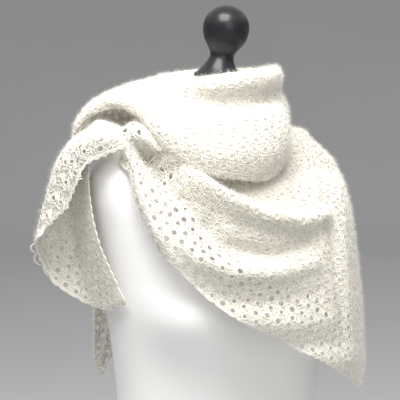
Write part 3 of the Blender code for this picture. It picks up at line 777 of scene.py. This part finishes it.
def cream_finish(name, dark, light, glow, strength, open_share=None):
    """Brushed cream mohair: mottled, with a soft sheen, letting some light through."""
    finish, nodes, links, shader = new_finish(name)
    place = nodes.new("ShaderNodeTexCoord")
    strands = noise(nodes, links, 620, 4, place)
    tone = two_tone(nodes, links, strands, 0.34, 0.62, dark, light)
    links.new(tone.outputs["Color"], shader.inputs["Base Color"])
    shader.inputs["Roughness"].default_value = 0.92
    shader.inputs["Specular IOR Level"].default_value = 0.15
    shader.inputs["Sheen Weight"].default_value = 0.35
    shader.inputs["Sheen Roughness"].default_value = 0.6
    bump(nodes, links, noise(nodes, links, 1300, 3, place), strength, 0.0008, shader)
    through = nodes.new("ShaderNodeBsdfTranslucent")
    links.new(tone.outputs["Color"], through.inputs["Color"])
    mix = nodes.new("ShaderNodeMixShader")
    mix.inputs["Fac"].default_value = glow
    links.new(shader.outputs["BSDF"], mix.inputs[1])
    links.new(through.outputs["BSDF"], mix.inputs[2])
    links.new(mix.outputs["Shader"], nodes["Material Output"].inputs["Surface"])
    if open_share is not None:
        thin_out(nodes, links, place, mix, open_share)
    return finish


def thin_out(nodes, links, place, wool, share):
    """Leave gaps between the brushed strands."""
    gaps = two_tone(nodes, links, noise(nodes, links, 420, 5, place), 0.5 - share, 0.5 + share / 2, (0, 0, 0), (1, 1, 1))
    clear = nodes.new("ShaderNodeBsdfTransparent")
    mix = nodes.new("ShaderNodeMixShader")
    links.new(gaps.outputs["Color"], mix.inputs["Fac"])
    links.new(clear.outputs["BSDF"], mix.inputs[1])
    links.new(wool.outputs["Shader"], mix.inputs[2])
    links.new(mix.outputs["Shader"], nodes["Material Output"].inputs["Surface"])


def haze_finish(name):
    return cream_finish(name, CREAM, CREAM_LIGHT, 0.30, 0.9, open_share=0.10)


def wool_finish(name):
    return cream_finish(name, CREAM, CREAM_LIGHT, 0.30, 0.9)


def yarn_finish(name):
    return cream_finish(name, CREAM, CREAM_LIGHT, 0.22, 0.7)


def fibre_finish(name):
    return cream_finish(name, CREAM_LIGHT, CREAM_LIGHT, 0.35, 0.0)


def form_finish():
    """Smooth white jersey over the form."""
    finish, nodes, links, shader = new_finish("form_jersey")
    place = nodes.new("ShaderNodeTexCoord")
    soft = noise(nodes, links, 9, 3, place)
    tone = two_tone(nodes, links, soft, 0.3, 0.7, tuple(c * 0.975 for c in FORM_WHITE), FORM_WHITE)
    links.new(tone.outputs["Color"], shader.inputs["Base Color"])
    shader.inputs["Roughness"].default_value = 0.66
    shader.inputs["Specular IOR Level"].default_value = 0.35
    shader.inputs["Sheen Weight"].default_value = 0.12
    bump(nodes, links, noise(nodes, links, 1500, 2, place), 0.25, 0.0002, shader)
    return finish


def cap_finish():
    """Black lacquer, turned and polished."""
    finish, nodes, links, shader = new_finish("cap_lacquer")
    place = nodes.new("ShaderNodeTexCoord")
    haze = noise(nodes, links, 60, 3, place)
    tone = two_tone(nodes, links, haze, 0.3, 0.7, CAP_BLACK, tuple(c * 1.6 for c in CAP_BLACK))
    links.new(tone.outputs["Color"], shader.inputs["Base Color"])
    shader.inputs["Roughness"].default_value = 0.34
    shader.inputs["Specular IOR Level"].default_value = 0.30
    shader.inputs["Coat Weight"].default_value = 0.12
    shader.inputs["Coat Roughness"].default_value = 0.10
    bump(nodes, links, haze, 0.05, 0.0003, shader)
    return finish


# Stage, light and camera

def make_camera():
    right = Vector((cos(VIEW_TURN), sin(VIEW_TURN), 0))
    back = Vector((sin(VIEW_TURN) * cos(VIEW_RISE), -cos(VIEW_TURN) * cos(VIEW_RISE), sin(VIEW_RISE)))
    lens = bpy.data.cameras.new("camera")
    camera = bpy.data.objects.new("camera", lens)
    bpy.context.scene.collection.objects.link(camera)
    lens.lens = lens.sensor_width * VIEW_AWAY / VIEW_FIELD
    camera.location = right * AIM_ACROSS + Vector((0, 0, AIM_HEIGHT)) + back * VIEW_AWAY
    camera.rotation_mode = "QUATERNION"
    camera.rotation_quaternion = (-back).to_track_quat("-Z", "Y")
    bpy.context.scene.camera = camera


def soft_light(name, turn, rise, away, size, power):
    """A square soft box aimed at the form's chest."""
    lamp = bpy.data.lights.new(name, "AREA")
    lamp.shape = "SQUARE"
    lamp.size = size
    lamp.energy = power
    light = bpy.data.objects.new(name, lamp)
    bpy.context.scene.collection.objects.link(light)
    a, e = radians(turn), radians(rise)
    back = Vector((sin(a) * cos(e), -cos(a) * cos(e), sin(e)))
    light.location = Vector((0, 0, 0.5)) + back * away
    light.rotation_mode = "QUATERNION"
    light.rotation_quaternion = (-back).to_track_quat("-Z", "Y")


def make_lights():
    soft_light("key", -42, 60, 1.25, 0.80, 27)
    soft_light("fill", -14, 14, 2.8, 1.6, 15)
    world = bpy.data.worlds.new("soft_surround")
    bpy.context.scene.world = world
    world.use_nodes = True
    background = world.node_tree.nodes["Background"]
    background.inputs["Color"].default_value = (1.0, 0.985, 0.96, 1)
    background.inputs["Strength"].default_value = 0.72


def make_stage():
    """Pale floor that curves up into a wall all round."""
    clear_selection()
    bpy.ops.mesh.primitive_circle_add(vertices=96, radius=4.2, fill_type="NGON", location=(0, 0, 0))
    floor = bpy.context.object
    floor.name = "floor"
    bpy.ops.object.mode_set(mode="EDIT")
    radius, height, cove, steps = 4.2, 0.0, 1.2, 8
    bpy.ops.mesh.select_all(action="DESELECT")
    bpy.ops.mesh.select_mode(type="EDGE")
    bpy.ops.mesh.select_all(action="SELECT")
    for k in range(1, steps + 2):
        turn = pi / 2 * min(k, steps) / steps
        next_radius = 4.2 + cove * sin(turn)
        next_height = cove * (1 - cos(turn)) + (1.8 if k > steps else 0)
        bpy.ops.mesh.extrude_edges_move(TRANSFORM_OT_translate={"value": (0, 0, next_height - height)})
        bpy.ops.transform.resize(value=(next_radius / radius, next_radius / radius, 1),
                                 center_override=(0, 0, next_height))
        radius, height = next_radius, next_height
    bpy.ops.object.mode_set(mode="OBJECT")
    floor.data.shade_smooth()
    finish, nodes, links, shader = new_finish("pale_paint")
    place = nodes.new("ShaderNodeTexCoord")
    tone = two_tone(nodes, links, noise(nodes, links, 1.5, 2, place), 0.3, 0.7,
                    tuple(c * 0.97 for c in STAGE_PALE), STAGE_PALE)
    links.new(tone.outputs["Color"], shader.inputs["Base Color"])
    shader.inputs["Roughness"].default_value = 0.9
    floor.data.materials.append(finish)


def main():
    make_camera()
    make_lights()
    make_stage()
    build_form()
    build_cap()
    for row in STRETCHES:
        make_stretch(*row)
    scene = bpy.context.scene
    scene.view_settings.view_transform = "Standard"
    scene.view_settings.look = "None"


main()
